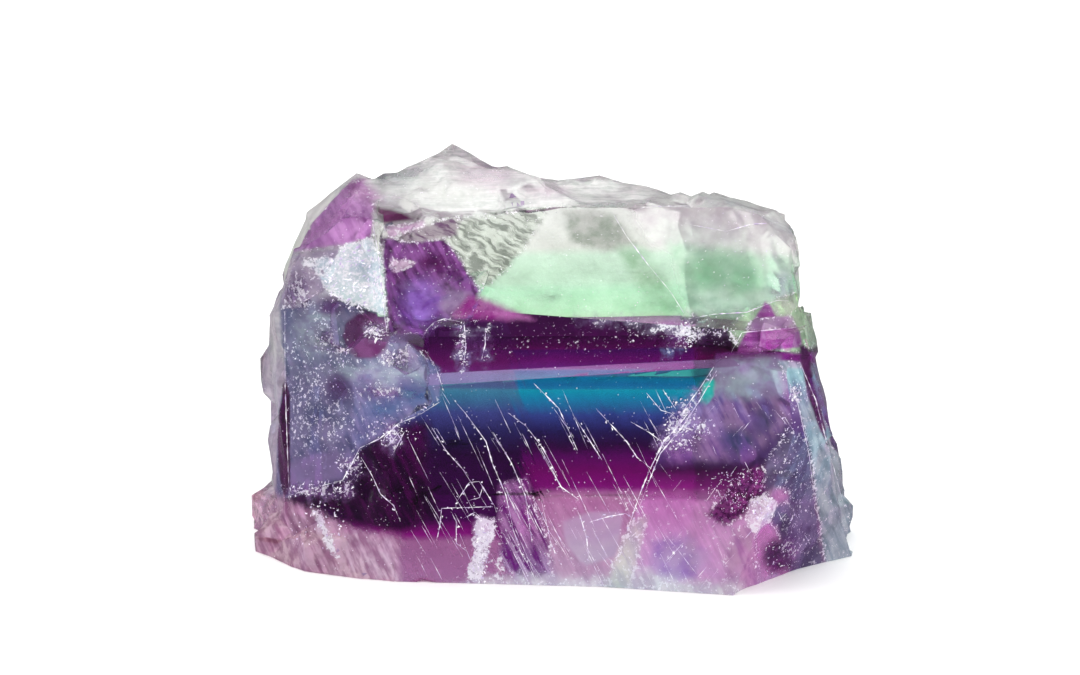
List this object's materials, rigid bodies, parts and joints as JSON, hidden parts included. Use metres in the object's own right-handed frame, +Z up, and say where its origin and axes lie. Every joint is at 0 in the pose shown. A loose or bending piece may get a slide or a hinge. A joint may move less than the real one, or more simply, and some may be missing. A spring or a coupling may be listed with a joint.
{
  "type": "banded fluorite block",
  "caption": "Cleaved and part-polished block of banded fluorite in purple, blue, teal and mint green, lying on a flat base.",
  "frame": {"origin": "under the middle of the block, on the surface that it lies on", "axes": "+Z up, +X to the right along the block's longest side, polished front looking along -Y"},
  "size_m": [0.051, 0.0342, 0.0322],
  "materials": {
    "fluorite": "transparent mineral in colour bands, polished on the front and cleaved elsewhere"
  },
  "bodies": {
    "root": {"fluorite_block": "fluorite"}
  },
  "joints": []
}
